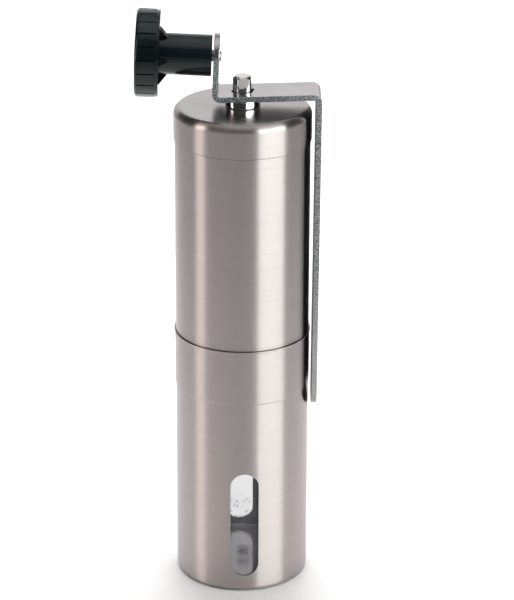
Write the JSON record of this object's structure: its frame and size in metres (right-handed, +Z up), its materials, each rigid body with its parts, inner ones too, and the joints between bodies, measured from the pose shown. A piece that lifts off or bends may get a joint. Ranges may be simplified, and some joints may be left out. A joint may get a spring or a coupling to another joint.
{
  "type": "hand crank coffee grinder",
  "caption": "Slim steel hand coffee grinder: domed lid, hopper tube, conical ceramic burrs, catch cup with sight windows, and a bent flat crank with a black knob, parked over the lid.",
  "frame": {"origin": "centre of the flat face the catch cup stands on", "axes": "+Z up along the grinder shaft, +X towards the long leg of the parked crank, the sight windows look along Y"},
  "size_m": [0.0643, 0.048, 0.2095],
  "materials": {
    "body_steel": "fine circumferential brushing, warm grey",
    "clear_plastic": "clear moulded plastic",
    "black_moulding": "fine satin moulding",
    "black_rubber": "soft matt",
    "bronze": "turned",
    "burr_ceramic": "fired, unglazed",
    "polished_rod": "polished flats",
    "hardware_steel": "zinc plated",
    "spring_steel": "drawn wire",
    "white_acetal": "natural moulding",
    "chromed_collar": "mirror plated",
    "crank_steel": "satin faces, coarse tumbled edges",
    "knob_plastic": "glossy black moulding"
  },
  "bodies": {
    "cup": {"catch_cup": "body_steel", "cup_liner": "clear_plastic"},
    "hopper": {"hopper_tube": "body_steel", "burr_housing": "black_moulding", "neck_ring": "black_rubber", "lower_bush": "bronze", "shaft_bridge": "black_moulding", "upper_bush": "bronze", "outer_burr": "burr_ceramic", "burr_retainer": "black_moulding"},
    "shaft": {"grinder_shaft": "polished_rod", "thrust_washer": "hardware_steel", "shaft_clip": "hardware_steel", "spring_seat": "hardware_steel", "burr_spring": "spring_steel"},
    "burr": {"inner_burr": "burr_ceramic", "burr_driver": "white_acetal", "click_plate": "hardware_steel"},
    "adjuster": {"adjuster_wheel": "black_moulding", "adjuster_nut": "bronze"},
    "lid": {"lid_cap": "body_steel", "lid_sleeve": "white_acetal", "lid_collar": "chromed_collar", "collar_nut": "hardware_steel"},
    "crank": {"crank_arm": "crank_steel", "knob_pin": "hardware_steel", "pin_washer": "hardware_steel"},
    "knob": {"knob": "knob_plastic", "knob_cap": "knob_plastic"}
  },
  "joints": [
    {"name": "hopper_lift", "type": "slide", "parent": "cup", "child": "hopper", "axis": [0, 0, 1], "range_m": [0, 0.045]},
    {"name": "shaft_turn", "type": "hinge", "parent": "hopper", "child": "shaft", "pos_m": [0, 0, 0.12], "axis": [0, 0, 1], "continuous": true},
    {"name": "burr_shift", "type": "slide", "parent": "shaft", "child": "burr", "axis": [0, 0, 1], "range_m": [-0.00081, 0.00081], "deforming": ["burr_spring"]},
    {"name": "adjuster_turn", "type": "hinge", "parent": "burr", "child": "adjuster", "pos_m": [0, 0, 0.0711], "axis": [0, 0, 1], "range_deg": [-360, 360]},
    {"name": "lid_lift", "type": "slide", "parent": "hopper", "child": "lid", "axis": [0, 0, 1], "range_m": [0, 0.03]},
    {"name": "crank_lift", "type": "slide", "parent": "shaft", "child": "crank", "axis": [0, 0, 1], "range_m": [0, 0.049]},
    {"name": "knob_spin", "type": "hinge", "parent": "crank", "child": "knob", "pos_m": [-0.00992, 0, 0.19334], "axis": [-0.9991, 0, 0.0419], "continuous": true}
  ],
  "couplings": [
    {"joint": "burr_shift", "follows": "adjuster_turn", "m_per_rad": 0.00012732},
    {"joint": "crank_lift", "follows": "lid_lift", "ratio": 1.6}
  ]
}
